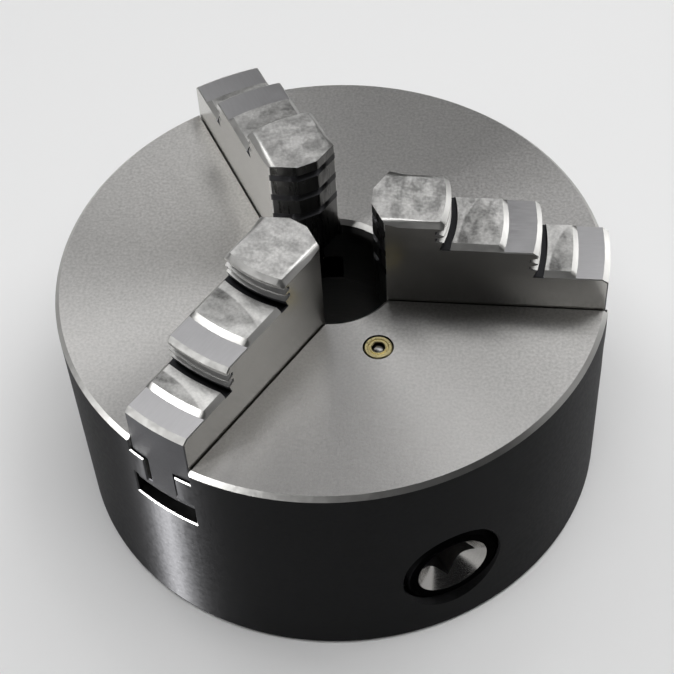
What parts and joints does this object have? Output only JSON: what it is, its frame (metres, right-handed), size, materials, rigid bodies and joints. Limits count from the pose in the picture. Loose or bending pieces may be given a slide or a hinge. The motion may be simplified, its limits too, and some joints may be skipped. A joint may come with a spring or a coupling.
{
  "type": "lathe chuck",
  "caption": "Round self-centring scroll chuck for a lathe, with stepped jaws, key pinions in the side wall and a recessed rear cover.",
  "frame": {"origin": "centre of the rear mounting face, on the spindle axis", "axes": "+Z along the spindle axis, out of the chuck face; +X along jaw 1, seen to the right in the picture; jaws 2 and 3 follow counter-clockwise seen from the face"},
  "size_m": [0.125, 0.125, 0.0825],
  "materials": {
    "chuck_body_steel": "ground bright on the face, blackened satin on the side and in the slots",
    "cover_steel": "turned and blackened",
    "jaw_steel": "hardened, milled and ground, dark grey on the outer ends",
    "hardened_steel": "hardened and ground",
    "screw_steel": "black oxide",
    "nipple_brass": "turned brass"
  },
  "bodies": {
    "chuck": {"chuck_body": "chuck_body_steel", "back_cover": "cover_steel", "cover_screw_1": "screw_steel", "cover_screw_2": "screw_steel", "cover_screw_3": "screw_steel", "pinion_retaining_screw_1": "screw_steel", "pinion_retaining_screw_2": "screw_steel", "pinion_retaining_screw_3": "screw_steel", "oil_nipple_body": "nipple_brass", "oil_nipple_spring": "hardened_steel"},
    "scroll": {"scroll_plate": "hardened_steel"},
    "pinion_1": {"pinion_1": "hardened_steel"},
    "pinion_2": {"pinion_2": "hardened_steel"},
    "pinion_3": {"pinion_3": "hardened_steel"},
    "jaw_1": {"jaw_1": "jaw_steel"},
    "jaw_2": {"jaw_2": "jaw_steel"},
    "jaw_3": {"jaw_3": "jaw_steel"},
    "oil_ball": {"oil_nipple_ball": "hardened_steel"}
  },
  "joints": [
    {"name": "scroll_turn", "type": "hinge", "parent": "chuck", "child": "scroll", "pos_m": [0, 0, 0.0389], "axis": [0, 0, 1], "range_deg": [-450, 382.5]},
    {"name": "pinion_1_turn", "type": "hinge", "parent": "chuck", "child": "pinion_1", "pos_m": [0.025, 0.0433, 0.0218], "axis": [0.5, 0.866, 0], "range_deg": [-1950.75, 2295]},
    {"name": "pinion_2_turn", "type": "hinge", "parent": "chuck", "child": "pinion_2", "pos_m": [-0.05, 0, 0.0218], "axis": [-1, 0, 0], "range_deg": [-1950.75, 2295]},
    {"name": "pinion_3_turn", "type": "hinge", "parent": "chuck", "child": "pinion_3", "pos_m": [0.025, -0.0433, 0.0218], "axis": [0.5, -0.866, 0], "range_deg": [-1950.75, 2295]},
    {"name": "jaw_1_slide", "type": "slide", "parent": "chuck", "child": "jaw_1", "axis": [1, 0, 0], "range_m": [-0.0085, 0.01]},
    {"name": "jaw_2_slide", "type": "slide", "parent": "chuck", "child": "jaw_2", "axis": [-0.5, 0.866, 0], "range_m": [-0.0085, 0.01]},
    {"name": "jaw_3_slide", "type": "slide", "parent": "chuck", "child": "jaw_3", "axis": [-0.5, -0.866, 0], "range_m": [-0.0085, 0.01]},
    {"name": "oil_ball_press", "type": "slide", "parent": "chuck", "child": "oil_ball", "axis": [0, 0, -1], "range_m": [0, 0.0008], "stiffness_N_per_m": 400, "springref_m": -0.0004, "deforming": ["oil_nipple_spring"]}
  ],
  "couplings": [
    {"joint": "pinion_1_turn", "follows": "scroll_turn", "ratio": -5.1},
    {"joint": "pinion_2_turn", "follows": "scroll_turn", "ratio": -5.1},
    {"joint": "pinion_3_turn", "follows": "scroll_turn", "ratio": -5.1},
    {"joint": "jaw_1_slide", "follows": "scroll_turn", "m_per_rad": -0.0012732},
    {"joint": "jaw_2_slide", "follows": "scroll_turn", "m_per_rad": -0.0012732},
    {"joint": "jaw_3_slide", "follows": "scroll_turn", "m_per_rad": -0.0012732}
  ]
}
